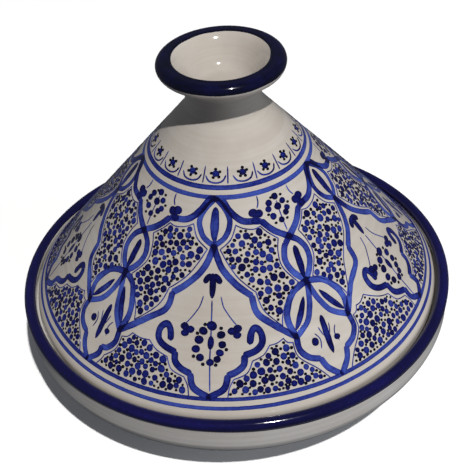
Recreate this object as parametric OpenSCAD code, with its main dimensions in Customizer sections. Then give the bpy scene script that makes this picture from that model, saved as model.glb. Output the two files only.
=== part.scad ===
// Glazed pottery tagine: a round serving dish and a conical lid that stands
// on a ledge inside the dish's rim. The lid is a thrown cone with an open cup
// knob luted into its neck. Units are millimetres, +Z is up, and the origin is
// the centre of the foot ring, on the table.

/* [Dish] */
// Outer diameter across the rim bead
rim_d = 300; // [290:1:316]
// Height of the middle of the rim bead above the table
rim_h = 60; // [56:1:66]
// Thickness of the round rim bead
bead_d = 7.8; // [7:0.2:8.6]
// How far the dish's wall stands inside the bead
bead_step = 0.8; // [0.4:0.1:1.2]
// Radius of the belly, where the wall turns under
belly_r = 16; // [14:1:20]
// Thickness of the dish's wall
dish_wall = 12; // [11.5:0.5:13]
// Depth from the middle of the bead down to the lid's ledge
ledge_drop = 6; // [5:0.5:8]
// Outer diameter of the foot ring
foot_d = 188; // [170:2:196]
// Width of the foot ring's flat face
foot_w = 10; // [7:0.5:12]
// Height of the foot ring
foot_h = 7; // [5:0.5:9]

/* [Lid] */
// Clear gap between the lid's edge and the rim bead
lid_gap = 1.8; // [1.4:0.1:2.4]
// Slope of the cone above the horizontal, in degrees
cone_slope = 50.3; // [49.5:0.1:51]
// Radius of the turned-down skirt
skirt_r = 6; // [4:0.5:8]
// Thickness of the lid's wall
lid_wall = 6; // [5:0.5:6.5]
// Radius of the rounding at the lid's edge
edge_r = 1.5; // [1:0.1:2]
// Radius of the narrowest part of the neck
neck_r = 24.6; // [24:0.2:27]
// Radius of the hollow sweep from the cone into the neck
neck_sweep = 14; // [12:1:16]

/* [Knob] */
// Outer diameter across the knob's bead
knob_d = 82; // [78:1:86]
// Height of the cup, from the neck to the middle of its bead
cup_h = 22; // [21:0.5:25]
// Thickness of the knob's round bead
knob_bead_d = 9.6; // [8.6:0.2:10]
// Thickness of the lip inside the bead, at the cup's mouth
lip_d = 3.8; // [3:0.2:4.2]
// How far the lip stands in from the bead, middle to middle
lip_inset = 3.6; // [3.2:0.1:4]
// How far the lip stands above the bead, middle to middle
lip_rise = 3; // [2:0.2:3.2]
// Thickness of the cup's floor above the neck
cup_floor = 7; // [6:0.5:8]
// Length of the spigot that goes down into the cone
spigot_h = 5; // [3:0.5:6]

/* [Hidden] */
$fn = 120;
ARC_STEPS = 8;              // straight steps along each rounded stretch
glaze = "#ece5d6";
cobalt = "#161a55";

bead_r = bead_d / 2;
bead_c = rim_d / 2 - bead_r;                 // radius of the bead's middle line
wall_r = rim_d / 2 - bead_step;              // widest part of the belly
belly_c = [wall_r - belly_r, rim_h - 14];    // centre of the belly's arc, in r and z
inner_r = belly_r - dish_wall;
ledge_z = rim_h - ledge_drop;
ledge_out = bead_c - bead_r + 0.4;
foot_r = foot_d / 2;
foot_in = foot_r - foot_w;
foot_to_belly = belly_c - [foot_r, foot_h];
under_slope = atan2(foot_to_belly.y, foot_to_belly.x) - asin(belly_r / norm(foot_to_belly));
recess_h = 4;                                // the floor stands this far above the table
floor_z = recess_h + 6.5;

lid_r = bead_c - bead_r - lid_gap;           // outside of the lid's edge
skirt_z = ledge_z + 5.1;                     // where the skirt starts to lean in
skirt_top = [lid_r - skirt_r * (1 - sin(cone_slope)), skirt_z + skirt_r * cos(cone_slope)];
neck_start = neck_r + neck_sweep * (1 - sin(cone_slope));
neck_start_z = skirt_top.y + (skirt_top.x - neck_start) * tan(cone_slope);
neck_z = neck_start_z + neck_sweep * cos(cone_slope);
wall_across = lid_wall / sin(cone_slope);    // the cone's wall, measured level
hole_r = neck_r - lid_wall;
spigot_gap = 0.3;

knob_bead_r = knob_bead_d / 2;
knob_c = knob_d / 2 - knob_bead_r;
knob_z = neck_z + cup_h;
lip_r = lip_d / 2;
lip_c = knob_c - lip_inset;                  // radius of the lip's middle line
lip_z = knob_z + lip_rise;

// Points along an arc about c from angle a0 to a1, as [r, z]
function arc(c, r, a0, a1) =
    [for (i = [0 : ARC_STEPS]) let (a = a0 + (a1 - a0) * i / ARC_STEPS)
        [c.x + r * cos(a), c.y + r * sin(a)]];

// Round bead whose middle line has radius r at height z
module bead(r, z, tube) {
    rotate_extrude() translate([r, z]) circle(r = tube, $fn = 48);
}

module base_dish() {
    under_a = under_slope - 90;              // where the belly's arc meets the underside
    outer_low = belly_c + belly_r * [cos(under_a), sin(under_a)];
    inner_low = belly_c + inner_r * [cos(under_a), sin(under_a)];
    floor_r = inner_low.x - (inner_low.y - floor_z) / tan(under_slope);
    color(glaze) union() {
        rotate_extrude() polygon(concat(
            [[0, recess_h], [foot_in - 2, recess_h], [foot_in, 0], [foot_r - 1, 0], [foot_r, 1],
             [foot_r, foot_h]],
            arc(belly_c, belly_r, under_a, 0),
            [[wall_r, rim_h], [bead_c, rim_h + bead_r / 2], [ledge_out, rim_h],
             [ledge_out, ledge_z], [belly_c.x + inner_r, ledge_z]],
            arc(belly_c, inner_r, 0, under_a),
            [[floor_r, floor_z], [0, floor_z]]));
        bead(bead_c, rim_h, bead_r);
    }
}

module lid_cone() {
    edge_c = [lid_r - edge_r, ledge_z + edge_r];
    lip_in = lid_r - lid_wall;
    inner_turn = skirt_top - [wall_across, 0];
    inner_top_z = inner_turn.y + (inner_turn.x - hole_r) * tan(cone_slope);
    color(glaze) rotate_extrude() polygon(concat(
        [[lip_in + edge_r, ledge_z]],
        arc(edge_c, edge_r, -90, 0),
        arc([lid_r - skirt_r, skirt_z], skirt_r, 0, 90 - cone_slope),
        arc([neck_r + neck_sweep, neck_z], neck_sweep, 270 - cone_slope, 180),
        [[hole_r, neck_z], [hole_r, inner_top_z], inner_turn, [lip_in, ledge_z + edge_r]]));
}

module lid_knob() {
    cup_z = neck_z + cup_floor;
    side_a = -40;                            // the cup's flared side faces this far above level
    side_top = [lip_c, lip_z] - (lip_r - 0.05) * [cos(side_a), sin(side_a)];
    bowl_r = 12;                             // rounding between the cup's floor and side
    side_low = cup_z + bowl_r * (1 + sin(side_a));
    bowl_c = [side_top.x + (side_top.y - side_low) * tan(side_a) - bowl_r * cos(side_a),
              cup_z + bowl_r];
    under_r = 22;                            // radius of the flare under the cup
    under_c = [neck_r + under_r, neck_z + 1.5];
    color(cobalt) union() {
        rotate_extrude() polygon(concat(
            [[0, neck_z - spigot_h], [hole_r - spigot_gap - 1, neck_z - spigot_h],
             [hole_r - spigot_gap, neck_z - spigot_h + 1], [hole_r - spigot_gap, neck_z],
             [neck_r, neck_z]],
            arc(under_c, under_r, 180, 133),
            [[knob_c, knob_z], [knob_c - 0.3, knob_z + knob_bead_r - 0.1],
             [lip_c, lip_z + lip_r - 0.1], side_top],
            arc(bowl_c, bowl_r, side_a, -90),
            [[0, cup_z]]));
        bead(knob_c, knob_z, knob_bead_r);
        bead(lip_c, lip_z, lip_r);
    }
}

base_dish();
lid_cone();
lid_knob();
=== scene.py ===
"""A glazed pottery tagine: thrown and glazed meshes for the dish, the lid and its cup knob,
and the brush painting on them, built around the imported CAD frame.

Lengths are millimetres until a point is placed in a mesh. A turn is an angle round the pot in
degrees, 0 towards the front (-Y) and growing towards +X. A slant is a distance up the lid's
outside in millimetres, 0 just above the skirt.
"""

import bisect
import math
import random

import bmesh
import bpy
from mathutils import Matrix, Vector, noise
from mathutils.kdtree import KDTree


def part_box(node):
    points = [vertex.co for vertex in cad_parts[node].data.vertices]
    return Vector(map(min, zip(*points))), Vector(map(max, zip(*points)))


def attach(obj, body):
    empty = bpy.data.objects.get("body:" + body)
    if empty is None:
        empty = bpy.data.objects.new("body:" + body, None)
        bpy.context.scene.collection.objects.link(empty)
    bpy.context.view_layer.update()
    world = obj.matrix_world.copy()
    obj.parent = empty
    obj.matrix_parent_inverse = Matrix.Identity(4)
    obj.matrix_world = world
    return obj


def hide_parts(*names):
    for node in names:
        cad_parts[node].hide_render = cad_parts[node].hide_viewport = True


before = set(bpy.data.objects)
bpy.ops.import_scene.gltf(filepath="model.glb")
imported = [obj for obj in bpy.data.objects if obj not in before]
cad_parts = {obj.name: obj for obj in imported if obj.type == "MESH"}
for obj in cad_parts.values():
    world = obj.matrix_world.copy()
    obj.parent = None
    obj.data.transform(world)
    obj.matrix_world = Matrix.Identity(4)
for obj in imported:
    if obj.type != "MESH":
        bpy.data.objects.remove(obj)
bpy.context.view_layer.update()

MM = 0.001

# ---------------------------------------------------------------- sizes

_, dish_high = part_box("base_dish")
lid_low, lid_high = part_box("lid_cone")
knob_low, knob_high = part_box("lid_knob")

RIM_R = dish_high.x / MM            # outside of the dish's rim bead
RIM_TUBE = 3.9                      # the bead's own radius
BEAD_R = RIM_R - RIM_TUBE
RIM_Z = dish_high.z / MM - RIM_TUBE
WALL_R = RIM_R - 0.8                # the wall stands a little inside the bead
BELLY_ROUND, DISH_INNER_ROUND = 16, 4           # where the wall turns under, outside and inside
BELLY = (WALL_R - BELLY_ROUND, RIM_Z - 14)      # the middle of both rounds, as radius and height
FOOT_R, FOOT_WIDTH, RECESS_Z = 94, 10, 4        # the foot ring, which the photograph doesn't show
DISH_FLOOR_Z = RECESS_Z + 6.5
UNDER_SLOPE = 28                    # degrees, of the dish's underside
DIP, DIP_TURN, DIP_SPREAD = 1.7, 42, 32         # the rim sags by this much, most at this turn

LID_R = lid_high.x / MM             # outside of the lid's edge
LEDGE_Z = lid_low.z / MM
LEDGE_OUT = BEAD_R - RIM_TUBE + 0.4
NECK_Z = lid_high.z / MM
CONE_SLOPE = 50.3                   # degrees above level
SKIRT_ROUND, NECK_SWEEP, LID_WALL, LID_EDGE = 6, 14, 6, 1.5
NECK_R = 24.6
SKIRT = (LID_R - SKIRT_ROUND, LEDGE_Z + 5.1)    # the middle of the skirt's round
SKIRT_TOP_R = SKIRT[0] + SKIRT_ROUND * math.sin(math.radians(CONE_SLOPE))
SKIRT_TOP_Z = SKIRT[1] + SKIRT_ROUND * math.cos(math.radians(CONE_SLOPE))
NECK_START_R = NECK_R + NECK_SWEEP * (1 - math.sin(math.radians(CONE_SLOPE)))
CONE_LENGTH = (SKIRT_TOP_R - NECK_START_R) / math.cos(math.radians(CONE_SLOPE))
SLANT_START = 2.9                   # slant 0 lies this far above the skirt
HOLE_R = NECK_R - LID_WALL

KNOB_R = knob_high.x / MM           # outside of the knob's bead
KNOB_TUBE, LIP_TUBE = 4.8, 1.9      # radii of the bead and of the lip inside it
KNOB_BEAD_R = KNOB_R - KNOB_TUBE
LIP_R = KNOB_BEAD_R - 3.6
LIP_Z = knob_high.z / MM - LIP_TUBE - 0.15      # a hair low, so that its paint stays in the CAD box
KNOB_Z = LIP_Z - 3
KNOB_LOW = knob_low.z / MM
CUP_FLOOR_Z = NECK_Z + 7
CUP_SIDE, CUP_ROUND = -40, 12       # degrees that the cup's side leans, and its turn to the floor
FLARE, FLARE_LENGTH = 0.17, 4       # radians more that the side leans near the lip, for this long

SEGMENTS = 384                      # round each pot
STEP = 1.5                          # along each outline

# The painter divided the lid by hand, so the five big and five small motifs aren't quite even.
BIG_TURNS = [-9.5, 64.5, 136, 207, 274.5]
SMALL_TURNS = [27.5, 100, 171.5, 241, 312]
HALF = 36                           # a motif's own half width, in nominal degrees

BEDDED = 0.25                       # how far a painted patch goes into the glaze
STACKED = 0.004                     # how much higher each stroke lies than the one before


# ---------------------------------------------------------------- thrown shapes

def arc(centre, radius, start, end, step=6):
    """Points every few degrees along an arc in the radius and height plane."""
    count = max(2, math.ceil(abs(end - start) / step))
    turns = [math.radians(start + (end - start) * i / count) for i in range(count + 1)]
    return [(centre[0] + radius * math.cos(a), centre[1] + radius * math.sin(a)) for a in turns]


def filled(points, step=STEP):
    """The same outline with points no further apart than step."""
    out = [points[0]]
    for a, b in zip(points, points[1:]):
        count = max(1, math.ceil(math.dist(a, b) / step))
        out += [(a[0] + (b[0] - a[0]) * i / count, a[1] + (b[1] - a[1]) * i / count)
                for i in range(1, count + 1)]
    return out


def smoothstep(x, low, high):
    """0 below low, 1 above high, and an easy rise between them."""
    t = min(1, max(0, (x - low) / (high - low)))
    return t * t * (3 - 2 * t)


def dish_unevenness(turn, z):
    """How far the dish's surface lies inside its true radius, and how far its rim sags."""
    a = math.radians(turn)
    slow = noise.noise(Vector((1.2 * math.cos(a), 1.2 * math.sin(a), z / 70 + 5)))
    dip = DIP * math.exp(-((around(turn) - DIP_TURN) / DIP_SPREAD) ** 2)
    return (0.14 + 0.25 * (0.5 + 0.5 * slow) + 0.03 * math.sin(math.tau * z / 5 + a),
            dip * smoothstep(z, LEDGE_Z + 0.5, RIM_Z - 1))


def lid_unevenness(turn, z):
    """The same for the lid, which has faint throwing rings, and for the knob, which is less true."""
    a = math.radians(turn)
    slow = noise.noise(Vector((1.4 * math.cos(a), 1.4 * math.sin(a), z / 80)))
    rings = (math.sin(math.tau * z / 6.4 + a) * smoothstep(z, SKIRT_TOP_Z + 7, SKIRT_TOP_Z + 27)
             * (1 - smoothstep(z, NECK_Z - 8, NECK_Z - 2)))
    oval = 0.5 + 0.5 * math.cos(2 * a - 0.9) + 0.35 * math.cos(3 * a + 1.3)
    return (0.14 + 0.3 * (0.5 + 0.5 * slow) + 0.05 * rings
            + 0.5 * oval * smoothstep(z, NECK_Z, KNOB_Z)), 0


def around(turn):
    """The same turn between -180 and 180."""
    return (turn + 180) % 360 - 180


def place(uneven, turn, r, z, lift=0, outward=(0, 0)):
    """A point that far above a thrown surface, in metres in the row frame."""
    a = math.radians(turn)
    inset, sag = uneven(turn, z)
    r = max(0, r - inset * min(1, r / 12)) + lift * outward[0]
    return Vector((r * math.sin(a), -r * math.cos(a), z - sag + lift * outward[1])) * MM


def mesh_piece(name, verts, faces, material, body, slot):
    """A smooth-shaded closed mesh that rides on a body."""
    mesh = bpy.data.meshes.new(name)
    mesh.from_pydata(verts, [], faces)
    bm = bmesh.new()
    bm.from_mesh(mesh)
    bmesh.ops.recalc_face_normals(bm, faces=bm.faces)
    bm.to_mesh(mesh)
    bm.free()
    mesh.shade_smooth()
    mesh.set_sharp_from_angle(angle=math.radians(50))
    mesh.materials.append(material)
    piece = bpy.data.objects.new(name, mesh)
    bpy.context.scene.collection.objects.link(piece)
    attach(piece, body)
    return piece


def revolve(outline, uneven):
    """Vertices and faces of a closed outline turned round the axis. Ends on the axis are poles."""
    verts, faces, rings = [], [], []
    for r, z in outline:
        if r < 1e-6:
            rings.append([len(verts)])
            verts.append(Vector((0, 0, z)) * MM)
        else:
            rings.append(list(range(len(verts), len(verts) + SEGMENTS)))
            verts += [place(uneven, 360 * k / SEGMENTS, r, z) for k in range(SEGMENTS)]
    pairs = list(zip(rings, rings[1:]))
    if len(rings[0]) > 1:
        pairs.append((rings[-1], rings[0]))
    for low, high in pairs:
        for k in range(SEGMENTS):
            n = (k + 1) % SEGMENTS
            if len(low) == 1:
                faces.append((low[0], high[n], high[k]))
            elif len(high) == 1:
                faces.append((low[k], low[n], high[0]))
            else:
                faces.append((low[k], low[n], high[n], high[k]))
    return verts, faces


def dish_outline():
    """From the middle of the underside out over the foot, up the wall, over the rim and the lid's
    ledge, and in along the floor."""
    under = UNDER_SLOPE - 90
    outer = arc(BELLY, BELLY_ROUND, under, 0)
    inner = arc(BELLY, DISH_INNER_ROUND, 4, under)
    slope = math.tan(math.radians(UNDER_SLOPE))
    foot_top = outer[0][1] - (outer[0][0] - FOOT_R) * slope
    floor_r = inner[-1][0] - (inner[-1][1] - DISH_FLOOR_Z) / slope
    foot_in = FOOT_R - FOOT_WIDTH
    ledge_in = BELLY[0] + DISH_INNER_ROUND
    fillet = 2
    fillet_z = foot_top + fillet * (slope - math.hypot(1, slope))
    in_edge, out_edge, soft_edge = 1.2, 1.4, 1
    return filled(
        [(0, RECESS_Z), (foot_in - 3, RECESS_Z)]
        + arc((foot_in + 1, in_edge), in_edge, 200, 270, 15)
        + arc((FOOT_R - out_edge, out_edge), out_edge, 270, 360, 15)
        + arc((FOOT_R + fillet, fillet_z), fillet, 180, 90 + UNDER_SLOPE, 12)
        + outer
        + [(WALL_R, RIM_Z - 3)]
        + arc((BEAD_R, RIM_Z), RIM_TUBE, -37, 180, 5)
        + arc((LEDGE_OUT - soft_edge, LEDGE_Z + soft_edge), soft_edge, 0, -90, 18)
        + arc((ledge_in + soft_edge, LEDGE_Z - soft_edge), soft_edge, 90, 180, 18)
        + inner
        + [(floor_r, DISH_FLOOR_Z), (0, DISH_FLOOR_Z)])


def lid_outline():
    """Round the lid's bottom edge, up its outside to the neck, and down inside."""
    lip_in = LID_R - LID_WALL
    across = LID_WALL / math.sin(math.radians(CONE_SLOPE))
    inner_turn = (SKIRT_TOP_R - across, SKIRT_TOP_Z)
    inner_top = inner_turn[1] + (inner_turn[0] - HOLE_R) * math.tan(math.radians(CONE_SLOPE))
    return filled(
        arc((lip_in + LID_EDGE, LEDGE_Z + LID_EDGE), LID_EDGE, 180, 270, 18)
        + arc((LID_R - LID_EDGE, LEDGE_Z + LID_EDGE), LID_EDGE, -90, 0, 18)
        + arc(SKIRT, SKIRT_ROUND, 0, 90 - CONE_SLOPE)
        + arc((NECK_R + NECK_SWEEP, NECK_Z), NECK_SWEEP, 270 - CONE_SLOPE, 180)
        + [(HOLE_R, NECK_Z), (HOLE_R, inner_top), inner_turn])


def cup_outline():
    """From the lip inside the knob's bead down the side of the cup to its floor."""
    side = math.radians(CUP_SIDE)
    top_r, top_z = LIP_R - LIP_TUBE * math.cos(side), LIP_Z - LIP_TUBE * math.sin(side)
    low = CUP_FLOOR_Z + CUP_ROUND * (1 + math.sin(side))
    bowl_r = top_r + (top_z - low) * math.tan(side) - CUP_ROUND * math.cos(side)
    lip_end = 170 + CUP_SIDE            # about where the lip's round meets the flare
    lip = arc((LIP_R, LIP_Z), LIP_TUBE, 80, lip_end, 8)
    flare = (lip[-1][0] + FLARE_LENGTH * math.sin(side - FLARE),
             lip[-1][1] - FLARE_LENGTH * math.cos(side - FLARE))
    return filled(lip + [flare] + arc((bowl_r, CUP_FLOOR_Z + CUP_ROUND), CUP_ROUND, CUP_SIDE, -90)
                  + [(0, CUP_FLOOR_Z)])


def knob_outline():
    """From under the spigot up the waist, over the bead and down into the cup."""
    spigot_r, waist = HOLE_R - 0.3, 22
    return filled(
        [(0, KNOB_LOW), (spigot_r - 1, KNOB_LOW), (spigot_r, KNOB_LOW + 1), (spigot_r, NECK_Z)]
        + arc((NECK_R + waist, NECK_Z + 1.5), waist, 184, 133)
        + arc((KNOB_BEAD_R, KNOB_Z), KNOB_TUBE, -72, 95, 5)
        + cup_outline())


def lid_surface(slant):
    """Radius, height and outward direction of the lid's outside at a slant."""
    slope = math.radians(CONE_SLOPE)
    slant += SLANT_START
    if slant < 0:
        a = max(0, math.pi / 2 - slope + slant / SKIRT_ROUND)
        return (SKIRT[0] + SKIRT_ROUND * math.cos(a), SKIRT[1] + SKIRT_ROUND * math.sin(a),
                math.cos(a), math.sin(a))
    if slant < CONE_LENGTH:
        return (SKIRT_TOP_R - slant * math.cos(slope), SKIRT_TOP_Z + slant * math.sin(slope),
                math.sin(slope), math.cos(slope))
    a = 1.5 * math.pi - slope - (slant - CONE_LENGTH) / NECK_SWEEP
    return (NECK_R + NECK_SWEEP + NECK_SWEEP * math.cos(a), NECK_Z + NECK_SWEEP * math.sin(a),
            -math.cos(a), -math.sin(a))


def on_lid(turn, slant, lift=0):
    """A point that far above the lid's outside, in metres."""
    r, z, *outward = lid_surface(slant)
    return place(lid_unevenness, turn, r, z, lift, outward)


def on_outline(uneven, outline):
    """A function like on_lid for a rim, where slant is the distance along part of its outline."""
    outward = []
    for before, after in zip(outline[:1] + outline, outline[1:] + outline[-1:]):
        length = math.dist(before, after)
        outward.append(((after[1] - before[1]) / length, (before[0] - after[0]) / length))
    run = [0]
    for a, b in zip(outline, outline[1:]):
        run.append(run[-1] + math.dist(a, b))

    def at(turn, slant, lift=0):
        i = min(max(bisect.bisect(run, slant), 1), len(run) - 1)
        t = (slant - run[i - 1]) / (run[i] - run[i - 1])
        r, z, *ahead = (a + (b - a) * t for a, b in zip(
            outline[i - 1] + outward[i - 1], outline[i] + outward[i]))
        return place(uneven, turn, r, z, lift, ahead)
    return at


# ---------------------------------------------------------------- glaze and pigment

def node(tree, kind, inputs=None, **settings):
    """A shader node; an input's value may be another node's output."""
    made = tree.nodes.new(kind)
    for key, value in settings.items():
        setattr(made, key, value)
    for key, value in (inputs or {}).items():
        if isinstance(value, bpy.types.NodeSocket):
            tree.links.new(value, made.inputs[key])
        else:
            made.inputs[key].default_value = value
    return made


def ramp(tree, value, *stops):
    """A colour ramp through (position, colour) stops."""
    made = node(tree, "ShaderNodeValToRGB", {"Fac": value})
    elements = made.color_ramp.elements
    while len(elements) < len(stops):
        elements.new(0.5)
    for element, (position, colour) in zip(elements, stops):
        element.position = position
        element.color = (*colour, 1) if len(colour) == 3 else colour
    return made.outputs["Color"]


def noise_value(tree, vector, scale, detail=3, rough=0.5):
    return node(tree, "ShaderNodeTexNoise", {"Vector": vector, "Scale": scale, "Detail": detail,
                                             "Roughness": rough}).outputs["Fac"]


def add(tree, a, b, operation="ADD"):
    """The sum of two values, or another operation on them."""
    return node(tree, "ShaderNodeMath", {0: a, 1: b}, operation=operation).outputs[0]


def ceramic(name, roughness=0.085):
    """A material with the wet shine of a fired glaze, its node tree, its shader and object space."""
    material = bpy.data.materials.new(name)
    material.use_nodes = True
    tree = material.node_tree
    shader = tree.nodes["Principled BSDF"]
    where = node(tree, "ShaderNodeTexCoord").outputs["Object"]
    patchy = noise_value(tree, where, 45, 4)
    rough = node(tree, "ShaderNodeMapRange", {"Value": patchy, "From Min": 0.3, "From Max": 0.7,
                                              "To Min": roughness * 0.75, "To Max": roughness * 1.5})
    tree.links.new(rough.outputs["Result"], shader.inputs["Roughness"])
    rings = node(tree, "ShaderNodeTexWave", {"Vector": where, "Scale": 75, "Distortion": 1.5,
                                             "Detail": 1.0, "Detail Scale": 0.6},
                 wave_type="BANDS", bands_direction="Z").outputs["Fac"]
    height = add(tree, add(tree, rings, 0.3, "MULTIPLY"), noise_value(tree, where, 260, 2))
    bump = node(tree, "ShaderNodeBump", {"Height": height, "Strength": 0.35, "Distance": 0.00012})
    tree.links.new(bump.outputs["Normal"], shader.inputs["Normal"])
    return material, tree, shader, where


def cream_glaze(name, shade=(1, 1, 1)):
    """Warm off-white tin glaze with cloudy patches, faint wheel streaks and a few iron specks. Its
    colours are multiplied by shade, and the dish's paler shade is painted light. Returns what ceramic
    does."""
    material, tree, shader, where = ceramic(name)
    clouds = noise_value(tree, where, 22, 5, 0.6)
    streak_at = node(tree, "ShaderNodeMapping", {"Vector": where, "Scale": (6, 6, 420)}).outputs[0]
    streaks = noise_value(tree, streak_at, 1, 2)
    mixed = add(tree, add(tree, clouds, 0.65, "MULTIPLY"), add(tree, streaks, 0.35, "MULTIPLY"))
    glaze = ramp(tree, mixed, *((position, [a * b for a, b in zip(colour, shade)])
                                for position, colour in ((0.3, (0.385, 0.345, 0.30)),
                                                         (0.5, (0.43, 0.395, 0.355)),
                                                         (0.72, (0.48, 0.45, 0.415)))))
    specks = ramp(tree, noise_value(tree, where, 520, 1), (0.76, (0, 0, 0)), (0.80, (1, 1, 1)))
    colour = node(tree, "ShaderNodeMix", {"Factor": specks, 6: glaze, 7: (0.42, 0.33, 0.24, 1)},
                  data_type="RGBA")
    tree.links.new(colour.outputs[2], shader.inputs["Base Color"])
    return material, tree, shader, where


def dish_glaze():
    """The same glaze, a little paler and cooler as painted light that stands in for light thrown up
    onto the dish from the floor, wiped off the foot ring to bare clay.
    """
    # Painted light: this tint raises every colour of the cream glaze, a lit copy of it for the dish
    material, tree, shader, where = cream_glaze("dish_glaze", (1.1, 1.15, 1.22))
    height = node(tree, "ShaderNodeSeparateXYZ", {"Vector": where}).outputs["Z"]
    ragged = add(tree, height, add(tree, noise_value(tree, where, 90, 3), 0.0012, "MULTIPLY"))
    bare = node(tree, "ShaderNodeMapRange", {"Value": ragged, "From Min": 0.0018, "From Max": 0.0022,
                                             "To Min": 1.0, "To Max": 0.0}).outputs["Result"]
    clay = ramp(tree, noise_value(tree, where, 380, 5), (0.3, (0.47, 0.30, 0.20)),
                (0.7, (0.62, 0.44, 0.31)))
    glazed = shader.inputs["Base Color"].links[0].from_socket
    colour = node(tree, "ShaderNodeMix", {"Factor": bare, 6: glazed, 7: clay}, data_type="RGBA")
    tree.links.new(colour.outputs[2], shader.inputs["Base Color"])
    glossy = shader.inputs["Roughness"].links[0].from_socket
    tree.links.new(add(tree, glossy, add(tree, bare, 0.6, "MULTIPLY")), shader.inputs["Roughness"])
    return material


def pigment(name, *stops):
    """Brushed pigment under the same glaze, with colours by how much paint there is. The mesh carries
    the paint at each point (tone) and where that point is along and across its stroke (brush)."""
    material, tree, shader, where = ceramic(name)
    tone = node(tree, "ShaderNodeAttribute", attribute_name="tone").outputs["Fac"]
    brush = node(tree, "ShaderNodeAttribute", attribute_name="brush").outputs["Vector"]
    hairs_at = node(tree, "ShaderNodeMapping", {"Vector": brush, "Scale": (0.12, 2.4, 1)}).outputs[0]
    hairs = noise_value(tree, hairs_at, 1, 3, 0.6)
    pools = noise_value(tree, where, 420, 3)
    ridges_at = node(tree, "ShaderNodeMapping", {"Vector": where, "Scale": (9, 9, 850)}).outputs[0]
    ridges = noise_value(tree, ridges_at, 1, 2)
    thin = add(tree, add(tree, add(tree, hairs, 0.45, "MULTIPLY"), add(tree, pools, 0.3, "MULTIPLY")),
               add(tree, ridges, 0.25, "MULTIPLY"))
    paint = add(tree, tone, add(tree, add(tree, 0.5, thin, "SUBTRACT"), 0.8, "MULTIPLY"))
    tree.links.new(ramp(tree, paint, *stops), shader.inputs["Base Color"])
    return material


CREAM = cream_glaze("cream_glaze")[0]
DISH = dish_glaze()
COBALT = pigment("cobalt_paint", (0.15, (0.13, 0.19, 0.50)), (0.4, (0.048, 0.085, 0.37)),
                 (0.6, (0.026, 0.044, 0.24)), (0.78, (0.006, 0.011, 0.125)),
                 (0.9, (0.0025, 0.0035, 0.07)), (1.0, (0.0015, 0.0015, 0.028)))
NAVY = pigment("navy_paint", (0.3, (0.009, 0.008, 0.11)), (0.6, (0.0045, 0.004, 0.045)),
               (0.9, (0.0012, 0.0015, 0.01)))
BLACK = pigment("black_paint", (0.3, (0.008, 0.008, 0.022)), (0.8, (0.0015, 0.0015, 0.004)))


# ---------------------------------------------------------------- brushwork

chance = random.Random(7)


def sampled(points, step=1.1):
    """Points every step mm along a smooth curve through (turn, slant) points."""
    scale = [math.radians(1) * lid_surface(s)[0] for _, s in points]
    ends = [points[0]] + list(points) + [points[-1]]
    out = []
    for i in range(len(points) - 1):
        p0, p1, p2, p3 = ends[i:i + 4]
        span = math.hypot((p2[0] - p1[0]) * scale[i], p2[1] - p1[1])
        count = max(1, math.ceil(span / step))
        for k in range(count):
            t = k / count
            out.append(tuple(
                0.5 * (2 * b + (c - a) * t + (2 * a - 5 * b + 4 * c - d) * t * t
                       + (3 * b - a - 3 * c + d) * t ** 3)
                for a, b, c, d in zip(p0, p1, p2, p3)))
    return out + [points[-1]]


def overshoot(end, before, distance):
    """The point that far past the end of a line, both in (turn, slant)."""
    scale = math.radians(1) * lid_surface(end[1])[0]
    dx, dy = end[0] - before[0], end[1] - before[1]
    grow = distance / (math.hypot(dx * scale, dy) or 1)
    return (end[0] + dx * grow, end[1] + dy * grow)


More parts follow.
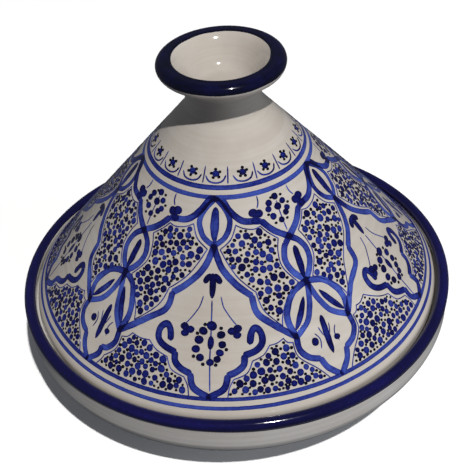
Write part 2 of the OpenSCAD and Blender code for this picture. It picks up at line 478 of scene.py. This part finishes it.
class Paint:
    """Painted patches that make one piece: closed slabs bedded in a surface, a hair proud of it."""

    def __init__(self, lift=0.07, at=on_lid):
        self.at, self.lift = at, lift
        self.verts, self.faces, self.tones, self.brush = [], [], [], []
        self.strokes, self.line = 0, 0
        self.spine, self.owner = [], []       # middle lines of broad strokes, for their crossings

    def vertex(self, turn, slant, lift, tone, along, across):
        self.verts.append(self.at(turn, slant, lift))
        self.tones.append(tone)
        self.brush.append((along, across, self.strokes * 7.3))
        self.owner.append(self.line)
        return len(self.verts) - 1

    def top(self):
        """How far the present stroke stands proud of the surface."""
        return self.lift + STACKED * (self.strokes % 9)

    def slab(self, rows, closed=False):
        """Joins rows of (turn, slant, tone, along, across) points across the paint."""
        lift = self.top()
        tops, beds = [], []
        for row in rows:
            tops.append([self.vertex(t, s, lift, tone, a, c) for t, s, tone, a, c in row])
            beds.append([self.vertex(t, s, -BEDDED, tone, a, c)
                         for t, s, tone, a, c in (row[0], row[-1])])
        pairs = list(zip(range(len(rows)), range(1, len(rows))))
        if closed:
            pairs.append((len(rows) - 1, 0))
        for i, j in pairs:
            ring_i = tops[i] + beds[i][::-1]
            ring_j = tops[j] + beds[j][::-1]
            for k in range(len(ring_i)):
                n = (k + 1) % len(ring_i)
                self.faces.append((ring_i[k], ring_i[n], ring_j[n], ring_j[k]))
        if not closed:
            self.faces.append(tuple(tops[0] + beds[0][::-1]))
            self.faces.append(tuple(reversed(tops[-1] + beds[-1][::-1])))

    def chain(self, parts, width, loads):
        """Strokes that carry on from one another round a motif, overlapping at each cusp."""
        self.line += 1
        for part, load in zip(parts, loads):
            self.stroke(part, width, load, run_on=0.22, joined=True)

    def stroke(self, points, width, load=(0.7, 0.35), tips=(0.55, 0.55), belly=0, columns=5,
               wander=0.05, run_on=0, joined=False):
        """A brush stroke through points. load is how much paint its start and end carry, tips how
        long its ends taper, run_on how far it overshoots them, both in widths, and belly how much
        it swells in the middle."""
        self.strokes += 1
        if not joined:
            self.line += 1
        path = sampled(points, 1.1 if width > 1.5 else 1.6)
        path = [overshoot(path[0], path[1], run_on * width)] * bool(run_on) + path
        path += [overshoot(path[-1], path[-2], run_on * width)] * bool(run_on)
        run = [0.0]
        for a, b in zip(path, path[1:]):
            r = lid_surface(b[1])[0]
            run.append(run[-1] + math.hypot(math.radians(b[0] - a[0]) * r, b[1] - a[1]))
        length = run[-1]
        lap = [min(length / 2, tips[0] * width), min(length / 2, tips[1] * width)]
        seed = chance.uniform(0, 100)
        rows = []
        for i, (turn, slant) in enumerate(path):
            r = lid_surface(slant)[0]
            before, after = path[max(0, i - 1)], path[min(len(path) - 1, i + 1)]
            dx = math.radians(after[0] - before[0]) * r
            dy = after[1] - before[1]
            size = math.hypot(dx, dy) or 1
            nx, ny = -dy / size, dx / size
            t = run[i] / length
            half = width / 2 * (1 - belly * (2 * t - 1) ** 2)
            for gone, reach in ((run[i], lap[0]), (length - run[i], lap[1])):
                if gone < reach:
                    half *= max(0.12, math.sqrt(1 - (1 - gone / reach) ** 2))
            row = []
            for k in range(columns):
                v = 2 * k / (columns - 1) - 1
                shake = wander * width * noise.noise(Vector((run[i] / 5 + seed, v * 2, seed)))
                off = v * half + shake
                pool = 0.22 * noise.noise(Vector((run[i] / 12 + seed, 3, seed)))
                tone = load[0] + (load[1] - load[0]) * t + pool + 0.15 * abs(v) ** 3
                row.append((turn + math.degrees(off * nx / r), slant + off * ny, tone,
                            run[i], off))
            rows.append(row)
            if width > 2.5:
                self.spine.append((turn, slant, half, self.line))
        self.slab(rows)

    def dot(self, turn, slant, width, height, tone, lean=0, sides=14):
        """A blob of paint that isn't quite round."""
        self.strokes += 1
        r, lift = lid_surface(slant)[0], self.top()
        waves = [(k, chance.uniform(0, 0.09 / k), chance.uniform(0, math.tau)) for k in (2, 3, 4)]
        rim, bed = [], []
        for k in range(sides):
            a = math.tau * k / sides
            grow = 1 + sum(size * math.cos(n * a + turned) for n, size, turned in waves)
            x, y = width / 2 * grow * math.cos(a), height / 2 * grow * math.sin(a)
            x, y = (x * math.cos(lean) - y * math.sin(lean), x * math.sin(lean) + y * math.cos(lean))
            place_at = (turn + math.degrees(x / r), slant + y)
            rim.append(self.vertex(*place_at, lift, tone + 0.12, x, y))
            bed.append(self.vertex(*place_at, -BEDDED, tone, x, y))
        middle = self.vertex(turn, slant, lift + 0.02, tone, 0, 0)
        for k in range(sides):
            n = (k + 1) % sides
            self.faces.append((rim[k], rim[n], middle))
            self.faces.append((rim[n], rim[k], bed[k], bed[n]))
        self.faces.append(tuple(reversed(bed)))

    def band(self, low, high, tone, columns=7, wander=0.25, wave=2.5,
             edge_shift=lambda turn: (0, 0)):
        """A band right round the pot, laid with the pot turning on a wheel. wander is how unsteady
        the brush is, wave how often, and edge_shift moves the two edges at a turn."""
        self.strokes += 1
        seed = chance.uniform(0, 100)
        rows = []
        for i in range(SEGMENTS * 2):
            turn = 180 * i / SEGMENTS
            a = math.radians(turn)
            shift = edge_shift(around(turn))
            edges = []
            for k, edge in enumerate((low, high)):
                slow, quick = (noise.noise(Vector((n * math.cos(a) + k * 9, n * math.sin(a), seed)))
                               for n in (wave, 30))
                edges.append(edge + shift[k] + wander * slow + 0.25 * wander * quick)
            load = tone + 0.12 * noise.noise(Vector((2 * math.cos(a), 2 * math.sin(a), seed + 3)))
            row = []
            for k in range(columns):
                v = 2 * k / (columns - 1) - 1
                slant = edges[0] + (edges[1] - edges[0]) * (v + 1) / 2
                row.append((turn, slant, load + 0.14 * abs(v) ** 3, math.radians(turn) * 50, v * 1.5))
            rows.append(row)
        self.slab(rows, closed=True)

    def darken_crossings(self, amount=0.42):
        """Two strokes of translucent cobalt make a darker blue where they cross."""
        tree = KDTree(len(self.spine))
        for i, (turn, slant, _, _) in enumerate(self.spine):
            tree.insert(on_lid(turn, slant), i)
        tree.balance()
        for i, point in enumerate(self.verts):
            crossed = {}
            for _, j, distance in tree.find_range(point, 2.6 * MM):
                _, _, half, line = self.spine[j]
                if line != self.owner[i]:
                    depth = smoothstep(half - distance / MM, -0.2, 0.7)
                    crossed[line] = max(crossed.get(line, 0), depth)
            self.tones[i] += amount * min(2, sum(crossed.values()))

    def piece(self, name, material, body, slot):
        made = mesh_piece(name, self.verts, self.faces, material, body, slot)
        tone = made.data.attributes.new("tone", "FLOAT", "POINT")
        tone.data.foreach_set("value", self.tones)
        brush = made.data.attributes.new("brush", "FLOAT_VECTOR", "POINT")
        brush.data.foreach_set("vector", [x for point in self.brush for x in point])
        return made


# The slips below say how far the point of a half motif at nominal degrees a and slant s lies off:
# in nominal degrees towards the small motif, and in mm up the lid.

def narrow_almond(a, s):
    """The front motif's left half: the lower almond lies closer to the small motif."""
    near = smoothstep(a, 14, 26) * (1 - smoothstep(a, 27, 36))
    near *= smoothstep(s, 8, 20) * (1 - smoothstep(s, 60, 72))
    return 2.8 * near, -4 * near * (1 - smoothstep(s, 38, 60))


def high_scroll(a, s):
    """The right motif's left half: scroll and arch are drawn high, and the tip is past the middle."""
    near = max(smoothstep(a, 0.5, 4), 1 - smoothstep(s, 8, 20)) * smoothstep(s, 2, 6)
    near *= 1 - smoothstep(s, 75, 90)
    back = 2.3 + 1.2 * smoothstep(s, 6, 20) - 0.8 * smoothstep(s, 22, 44)
    up = (3.5 + 3.5 * smoothstep(a, 15.8, 18)) * smoothstep(s, 20, 45) * (1 - smoothstep(a, 18, 22))
    return -back * near * (1 - smoothstep(a, 15.8, 18)), up * near


def far_tip(a, s):
    """The right motif's right half, which meets that tip."""
    return 2.3 * (1 - smoothstep(a, 4, 9)) * smoothstep(s, 2, 6) * (1 - smoothstep(s, 8, 20)), 0


def no_slip(a, s):
    return 0, 0


# Where the painter strayed from the pattern, by the turns of a big and a small motif
SLIPS = {(BIG_TURNS[0], SMALL_TURNS[4] - 360): narrow_almond,
         (BIG_TURNS[1], SMALL_TURNS[0]): high_scroll,
         (BIG_TURNS[1], SMALL_TURNS[1]): far_tip}


def half_motif(big, small):
    """A function from nominal (degrees, slant) points of a half motif to the lid's own turns."""
    slip = SLIPS.get((big, small), no_slip)

    def here(points):
        out = []
        for a, s in points:
            along, up = slip(a, s)
            out.append((big + (a + along) * (small - big) / HALF, s + up))
        return out
    return here


def halves():
    """That function for each half motif, with the turns of its big and its small motif."""
    for i, big in enumerate(BIG_TURNS):
        for small in (SMALL_TURNS[i], SMALL_TURNS[i - 1] - (360 if i == 0 else 0)):
            yield half_motif(big, small), big, small


# Each list is a stroke or an edge of one half motif: nominal degrees from the big motif's middle
# (0) to the small motif's middle (36), and the slant.
GARLAND = [
    [(0, 128.5), (4, 127), (8.5, 120), (14.5, 113.8), (21, 112.3), (24.5, 111.5)],
    [(24.5, 111.5), (29.5, 104), (36, 97.5)]]
ARCH = [
    [(0, 99), (3.5, 86), (9, 75.5), (14.5, 67.5)],
    [(14.5, 67.5), (15.5, 57), (20, 48.5), (26.5, 37.5)]]
TOP_ALMOND = [(0, 128.5), (5.5, 122), (8, 114), (5.5, 105), (0, 99)]
MIDDLE_ALMOND = [(36, 97.5), (32, 92), (30.5, 84), (32.3, 75.5), (36, 68.5)]
LOWER_ALMOND = [
    [(36, 68), (29.5, 64), (26, 55), (25.2, 47), (26.5, 37.5)],
    [(36, 66.5), (34.3, 55), (31.5, 44.5), (26.5, 37)]]
SMALL_MEDALLION = [
    [(26.5, 37), (26.5, 29), (28.6, 22.8), (31.7, 19.8)],
    [(31.7, 19.8), (32.9, 13), (36, 5.5)]]
SCROLL = [
    [(12.1, 39), (12.8, 45), (14.2, 48), (15.8, 45), (15.8, 38.5), (13.8, 34.3), (10.1, 31.8)],
    [(10.1, 31.8), (9.8, 26.5), (8, 22.8), (5.1, 20)],
    [(5.1, 20), (4, 12), (0, 6.5)]]
UPPER_PANEL = [
    [(10.9, 111.5), (15, 108.8), (20, 107.5), (23.4, 108.5)],
    [(23.4, 108.5), (26.2, 104), (30.4, 98.5)],
    [(30.4, 98.5), (28.6, 91), (28.5, 81), (32.8, 69)],
    [(32.8, 69), (26.3, 59.5), (23.9, 52), (23.1, 46)],
    [(23.1, 46), (17.9, 58), (16.2, 69.5)],
    [(16.2, 69.5), (9.5, 80.5), (2.9, 97)],
    [(2.9, 97), (8, 103), (10.9, 111.5)]]
LOWER_PANEL = [
    [(5, 6.7), (5.5, 12.5), (6.7, 17.5)],
    [(6.7, 17.5), (10.5, 21), (12.3, 28)],
    [(12.3, 28), (15.8, 31), (17.9, 36)],
    [(17.9, 36), (20.4, 36.6), (22.4, 38.5)],
    [(22.4, 38.5), (23.4, 35.5), (25, 34.5)],
    [(25, 34.5), (25.5, 25.5), (29.3, 16.5)],
    [(29.3, 16.5), (31, 12), (32.5, 6.7)],
    [(32.5, 6.7), (5, 6.7)]]

# Dots as (degrees from the motif's middle, slant, width)
GRAPES = [(0.3, 123.6, 4.6), (-4.7, 120.8, 4.5), (4, 119.4, 4.2), (-6, 117.2, 4.2), (0, 117.2, 5),
          (5.1, 114.4, 4), (-4.5, 112.2, 4.5), (3.3, 112, 4.2), (-0.6, 108.6, 4.1)]
GRAPE_SPECKS = [(-2.4, 123.6), (4.4, 123.3), (6.9, 117.2), (-6.9, 114), (-4.2, 107.8), (2.8, 108.3)]
WREATH = [(0.3, 50.4, 6), (3.4, 45, 5), (3.75, 39, 4.6), (3, 34, 4.6), (2.2, 30, 4.4),
          (0.1, 28, 4.6), (-3, 30.6, 4.8), (-4.5, 35.6, 5), (-3.7, 41.4, 5.4), (-2.5, 47, 5.2)]
WREATH_SPECKS = [(-2, 51), (3.4, 49), (5, 36), (1.8, 26.5), (-2, 26.6), (-4.4, 45.3), (-5, 31)]
TREFOIL = [(-1.4, 2, 5.6), (1.6, 0.9, 5.4), (-1, -2.9, 5.2)]         # about its own middle
BLOSSOM = [(6.9, 0.3, 4.9), (8.9, 1.8, 5), (8.6, -2.3, 4.7)]         # about the big motif's middle


def broad_strokes():
    """The interlaced arches, almonds, medallions and scrolls, in translucent cobalt."""
    paint = Paint()
    for here, _, _ in halves():
        paint.chain([here(part) for part in GARLAND], 4.2, ((0.84, 0.58), (0.7, 0.56)))
        paint.chain([here(part) for part in ARCH], 4.2, ((0.74, 0.5), (0.6, 0.54)))
        paint.chain([here(TOP_ALMOND)], 3.5, [(0.68, 0.58)])
        paint.chain([here(MIDDLE_ALMOND)], 4, [(0.68, 0.5)])
        paint.chain([here(LOWER_ALMOND[0])], 4.2, [(0.63, 0.5)])
        paint.chain([here(LOWER_ALMOND[1])], 3.8, [(0.58, 0.46)])
        paint.chain([here(part) for part in SMALL_MEDALLION], 4, ((0.7, 0.58), (0.64, 0.55)))
        paint.chain([here(part) for part in SCROLL], 4.3, ((0.88, 0.78), (0.8, 0.68), (0.68, 0.78)))
    paint.darken_crossings()
    return paint.piece("lid_broad_strokes", COBALT, "lid", "cobalt_brush")


def dark_strokes():
    """The fully loaded strokes: hearts of the almonds, spade flowers, trefoils and grapes."""
    paint = Paint(0.12)
    for here, big, small in halves():
        paint.stroke(here([(32.8, 59.5), (30, 50), (26.9, 41)]), 4, (0.86, 0.76), (1.6, 1.6),
                     belly=0.4)
        mirror = math.copysign(1, small - big)
        for middle, flower in ((here([(22.5, 115.4)])[0], TREFOIL), (here([(0, 46.8)])[0], BLOSSOM)):
            for off, up, size in flower:
                paint.dot(middle[0] + mirror * off, middle[1] + up, size * 1.1, size * 0.95,
                          chance.uniform(0.78, 0.92))
    for big in BIG_TURNS:
        paint.stroke([(big + 0.2, 123), (big, 112), (big + 0.2, 100)], 5.4, (0.9, 0.74), (0.7, 2.5),
                     belly=0.35)
        paint.stroke([(big, 82.5), (big + 0.1, 75), (big, 67)], 4.2, (0.9, 0.88), (0.8, 2.4))
        for side in (-1, 1):
            paint.stroke([(big, 81.3), (big + side * 2, 79.6), (big + side * 3.3, 76)], 3.8,
                         (0.9, 0.9))
        for off, slant, size in WREATH:
            paint.dot(big + off, slant, size * 1.08, size, chance.uniform(0.8, 1))
        paint.dot(big + 0.1, 40, 4, 8.6, 0.84)
    for small in SMALL_TURNS:
        paint.stroke([(small + 0.6, 91), (small + 0.2, 80), (small - 0.4, 70)], 4.6, (0.94, 0.86),
                     (0.8, 2), belly=0.25)
        paint.stroke([(small + 0.3, 44.8), (small, 32), (small - 0.1, 19.8)], 4.2, (0.88, 0.8),
                     (0.9, 1.4), belly=0.3)
        for off, slant, size in GRAPES:
            paint.dot(small + off, slant, size, size * 0.95, chance.uniform(0.76, 0.95))
        paint.dot(small - 4.4, 30.6, 4.7, 5.4, 0.85)
        paint.dot(small + 2.9, 28.2, 4.3, 4, 0.85)
    return paint.piece("lid_dark_strokes", COBALT, "lid", "cobalt_brush")


def fine_lines():
    """Thin brush lines: stems, veins and the edges of the dotted panels."""
    paint = Paint(0.09)

    def line(points, width=0.75, load=(0.68, 0.56), tips=(2, 3), run_on=0):
        paint.stroke(points, width, load, tips, columns=3, wander=0.12, run_on=run_on)

    for here, big, small in halves():
        for panel in (UPPER_PANEL, LOWER_PANEL[:-1]):       # the last edge is the wheel band
            for edge in panel:
                line(here(edge), tips=(0.8, 0.8), run_on=0.6)
        mirror = math.copysign(1, small - big)
        trefoil = here([(23.7, 0)])[0][0]
        line([(trefoil, 119.5), (trefoil + mirror * 1.6, 123), (trefoil + mirror * 1.7, 127.2)], 0.9)
        line([(big + mirror * 3.3, 68.5), (big + mirror * 4.3, 62), (big + mirror * 6, 57),
              (big + mirror * 9, 49.5)])
        line([(small + mirror * 3.8, 35.6), (small + mirror * 2.6, 31), (small + mirror * 3.2, 25)])
        line([(small + mirror * 2, 38.5), (small + mirror * 1.1, 32)])
    for big in BIG_TURNS:
        line([(big, 66), (big + 0.1, 50), (big, 30), (big + 0.3, 10)], 0.9)
    for small in SMALL_TURNS:
        line([(small + 0.4, 121), (small, 112), (small + 0.2, 101)], 0.8)
    return paint.piece("lid_fine_lines", COBALT, "lid", "cobalt_brush")


def wheel_bands():
    """The pairs of rings above and below the painting."""
    paint = Paint()
    paint.band(133.3, 136.4, 0.66)
    paint.band(127.5, 130.4, 0.54)
    paint.band(4.2, 6.8, 0.66, wander=0.4)
    paint.band(-1.2, 1.2, 0.6, wander=0.4)
    return paint.piece("lid_wheel_bands", COBALT, "lid", "cobalt_brush")


def inside(polygon, x, y):
    """True if a point lies inside a closed outline."""
    hit = False
    for (ax, ay), (bx, by) in zip(polygon, polygon[1:] + polygon[:1]):
        if (ay > y) != (by > y) and x < ax + (y - ay) * (bx - ax) / (by - ay):
            hit = not hit
    return hit


def clearance(polygon, x, y):
    """Distance from a point to the nearest point of an outline."""
    return min(math.hypot(x - ax, y - ay) for ax, ay in polygon)


def dotted_panels():
    """Close-set blue dots with black specks between them, placed by chance inside each panel.
    Returns the black paint."""
    blue, black = Paint(), Paint(0.17)

    def flat(turn, slant):
        """A point laid out in mm, with the middle of its panel at 0."""
        return math.radians(turn - middle) * lid_surface(slant)[0], slant

    for here, _, _ in halves():
        for panel in (UPPER_PANEL, LOWER_PANEL):
            edge = [p for part in panel for p in sampled(here(part), 0.8)[:-1]]
            turns, slants = zip(*edge)
            middle = sum(turns) / len(turns)
            spans = (min(turns), max(turns)), (min(slants), max(slants))
            outline = [flat(*point) for point in edge]
            dots = []
            for kind, tries, sizes, gaps in (
                    (blue, 2600, (1.8, 2.5), (-0.3, 0.8)), (blue, 1500, (1.5, 1.9), (-0.2, 0.4)),
                    (black, 5200, (0.8, 1.15), (-0.4, 0.1))):
                for _ in range(tries):
                    turn, slant = (chance.uniform(*span) for span in spans)
                    radius, gap = chance.uniform(*sizes), chance.uniform(*gaps)
                    x, y = flat(turn, slant)
                    if not inside(outline, x, y) or clearance(outline, x, y) < radius + 0.3:
                        continue
                    if any(math.hypot(x - u, y - v) < radius + size + (0.7 if other is black else gap)
                           for u, v, size, other in dots):
                        continue
                    dots.append((x, y, radius, kind))
                    if kind is blue:
                        kind.dot(turn, slant, 2 * radius, 2.1 * radius, chance.uniform(0.62, 0.93),
                                 chance.uniform(-0.6, 0.6))
                    else:
                        kind.dot(turn, slant, 2.2 * radius, 2 * radius, chance.uniform(0.5, 0.9),
                                 chance.uniform(-0.6, 0.6), sides=9)
    for big in BIG_TURNS:
        for off, slant in WREATH_SPECKS:
            black.dot(big + off, slant, 2.4, 2.3, 0.6, sides=10)
    for small in SMALL_TURNS:
        for off, slant in GRAPE_SPECKS:
            black.dot(small + off, slant, 2.1, 1.7, 0.6, sides=10)
    blue.piece("lid_blue_dots", COBALT, "lid", "cobalt_brush")
    return black


def crown(black):
    """The ring of small dotted flowers round the top, each in its hook and between two ticks."""
    blue = Paint()
    count, height, petals = 18, 143.4, 2.8
    ring_r = lid_surface(143)[0]
    for i in range(count):
        turn = 360 * i / count - 10 + chance.uniform(-1, 1)
        spin = chance.uniform(0, math.tau)
        blue.dot(turn, height, 4.6, 4.2, chance.uniform(0.7, 0.85))
        for k in range(5):
            a = spin + math.tau * k / 5 + chance.uniform(-0.2, 0.2)
            off = math.degrees(petals * math.cos(a) / ring_r)
            black.dot(turn + off, height + petals * math.sin(a), 2.1, 1.9, 0.85, sides=9)
        blue.stroke([(turn - 8, 142.2), (turn - 5, 138.7), (turn + 0.5, 137.7), (turn + 5.4, 139.1),
                     (turn + 7.9, 142.6)], 1.1, (0.62, 0.9), (3, 0.8), columns=3)
        tick = turn + 10 + chance.uniform(-0.8, 0.8)
        blue.stroke([(tick - 0.3, 137), (tick, 142), (tick + 0.2, 148)], 0.9, (0.7, 0.62), (1, 3),
                    columns=3)
    return blue.piece("lid_crown_flowers", COBALT, "lid", "cobalt_brush")


# ---------------------------------------------------------------- the pots

def rim_edges(turn):
    """The rim band's outer edge runs low at the front right, and its inner edge stays high on the
    left. Down the bead's inner wall the navy is partly the band's own colour and partly painted shade
    for the gap under the lid's edge, which is left cream where that gap is lit."""
    return (-0.4 - 3.2 * math.exp(-((turn - 48) / 42) ** 2),
            -5.2 * smoothstep(turn, -150, -115) * (1 - smoothstep(turn, -35, -10)))


def rim_bands():
    """The navy bands over the dish's rim and over the knob's bead."""
    wall = filled([(WALL_R, RIM_Z - 9), (WALL_R, RIM_Z - 3)])
    # The band runs over the bead and down its inner wall nearly to the ledge: partly the band's own
    # navy, partly painted shade darkening the gap between the rim and the lid's edge
    rim = Paint(at=on_outline(dish_unevenness, wall + arc((BEAD_R, RIM_Z), RIM_TUBE, -37, 180, 3)
                              + [(LEDGE_OUT, LEDGE_Z + 1)]))
    rim.band(7.4, 25.2, 0.6, columns=27, wander=0.5, wave=3, edge_shift=rim_edges)
    rim.piece("dish_rim_band", NAVY, "base", "navy_glaze")
    mouth = Paint(at=on_outline(lid_unevenness, arc((KNOB_BEAD_R, KNOB_Z), KNOB_TUBE, -40, 95, 3)
                                + cup_outline()))
    mouth.band(3.1, 16.2, 0.82, columns=25, wander=0.5, wave=2)
    mouth.piece("knob_rim_band", NAVY, "lid", "navy_glaze")


dish = mesh_piece("dish_pot", *revolve(dish_outline(), dish_unevenness), DISH, "base", "white_glaze")
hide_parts("base_dish")
cone = mesh_piece("lid_pot", *revolve(lid_outline(), lid_unevenness), CREAM, "lid", "white_glaze")
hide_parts("lid_cone")
knob = mesh_piece("knob_pot", *revolve(knob_outline(), lid_unevenness), CREAM, "lid", "white_glaze")
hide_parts("lid_knob")

rim_bands()
broad_strokes()
dark_strokes()
fine_lines()
wheel_bands()
black_specks = dotted_panels()
crown(black_specks)
black_specks.piece("lid_black_specks", BLACK, "lid", "black_brush")


# ---------------------------------------------------------------- stage

def stage_floor():
    """A wide pale floor. It takes the pot's shadow but throws no light back on it, because the
    photograph's white background doesn't either."""
    mesh = bpy.data.meshes.new("floor")
    size = 20
    mesh.from_pydata([(-size, -size, 0), (size, -size, 0), (size, size, 0), (-size, size, 0)], [],
                     [(0, 1, 2, 3)])
    material = bpy.data.materials.new("floor_white")
    material.use_nodes = True
    shader = material.node_tree.nodes["Principled BSDF"]
    shader.inputs["Base Color"].default_value = (1, 1, 1, 1)
    shader.inputs["Roughness"].default_value = 0.9
    shader.inputs["Specular IOR Level"].default_value = 0.1
    mesh.materials.append(material)
    floor = bpy.data.objects.new("floor", mesh)
    floor.visible_diffuse = False
    floor.visible_glossy = False
    bpy.context.scene.collection.objects.link(floor)


def softbox(name, direction, distance, size, power, colour, highlights=True):
    """A square area light that looks at the pot from a direction, in metres and watts."""
    target = Vector((0, 0, 0.09))
    light = bpy.data.lights.new(name, "AREA")
    light.energy, light.size, light.color = power, size, colour
    lamp = bpy.data.objects.new(name, light)
    lamp.visible_glossy = highlights
    lamp.location = target + Vector(direction).normalized() * distance
    lamp.rotation_euler = (target - lamp.location).to_track_quat("-Z", "Y").to_euler()
    bpy.context.scene.collection.objects.link(lamp)


def studio():
    """A far key light high in front, a little to the right, whose shadows have sharp edges as in
    the photograph, and weak cool light from both sides and all round."""
    world = bpy.data.worlds.new("studio")
    world.use_nodes = True
    sky = world.node_tree.nodes["Background"]
    sky.inputs["Color"].default_value = (0.84, 0.88, 1, 1)
    sky.inputs["Strength"].default_value = 0.1
    bpy.context.scene.world = world
    softbox("key", (0.2, -0.59, 1), 12, 0.25, 1580, (1, 0.985, 0.965))
    softbox("fill", (1, -0.4, 0.25), 2.5, 1.2, 22, (0.9, 0.95, 1), highlights=False)
    softbox("fill_left", (-1, 0.1, 0.2), 2.5, 1.2, 5, (0.9, 0.95, 1), highlights=False)


def camera():
    """The viewing angle of a person standing over a table, turned a little."""
    pitch, yaw, roll = (math.radians(a) for a in (39.13, 0.26, -3.78))
    ahead = Vector((math.sin(yaw) * math.cos(pitch), math.cos(yaw) * math.cos(pitch),
                    -math.sin(pitch)))
    level = Vector((math.cos(yaw), -math.sin(yaw), 0))
    above = level.cross(ahead)
    right = math.cos(roll) * level + math.sin(roll) * above
    up = -math.sin(roll) * level + math.cos(roll) * above
    data = bpy.data.cameras.new("camera")
    data.sensor_width = 36
    data.lens = 79.7
    data.clip_end = 30
    eye = bpy.data.objects.new("camera", data)
    turned = Matrix((right, up, -ahead)).transposed().to_4x4()
    eye.matrix_world = Matrix.Translation((0, -0.5673, 0.5498)) @ turned
    bpy.context.scene.collection.objects.link(eye)
    bpy.context.scene.camera = eye


stage_floor()
studio()
camera()
bpy.context.scene.view_settings.view_transform = "Standard"
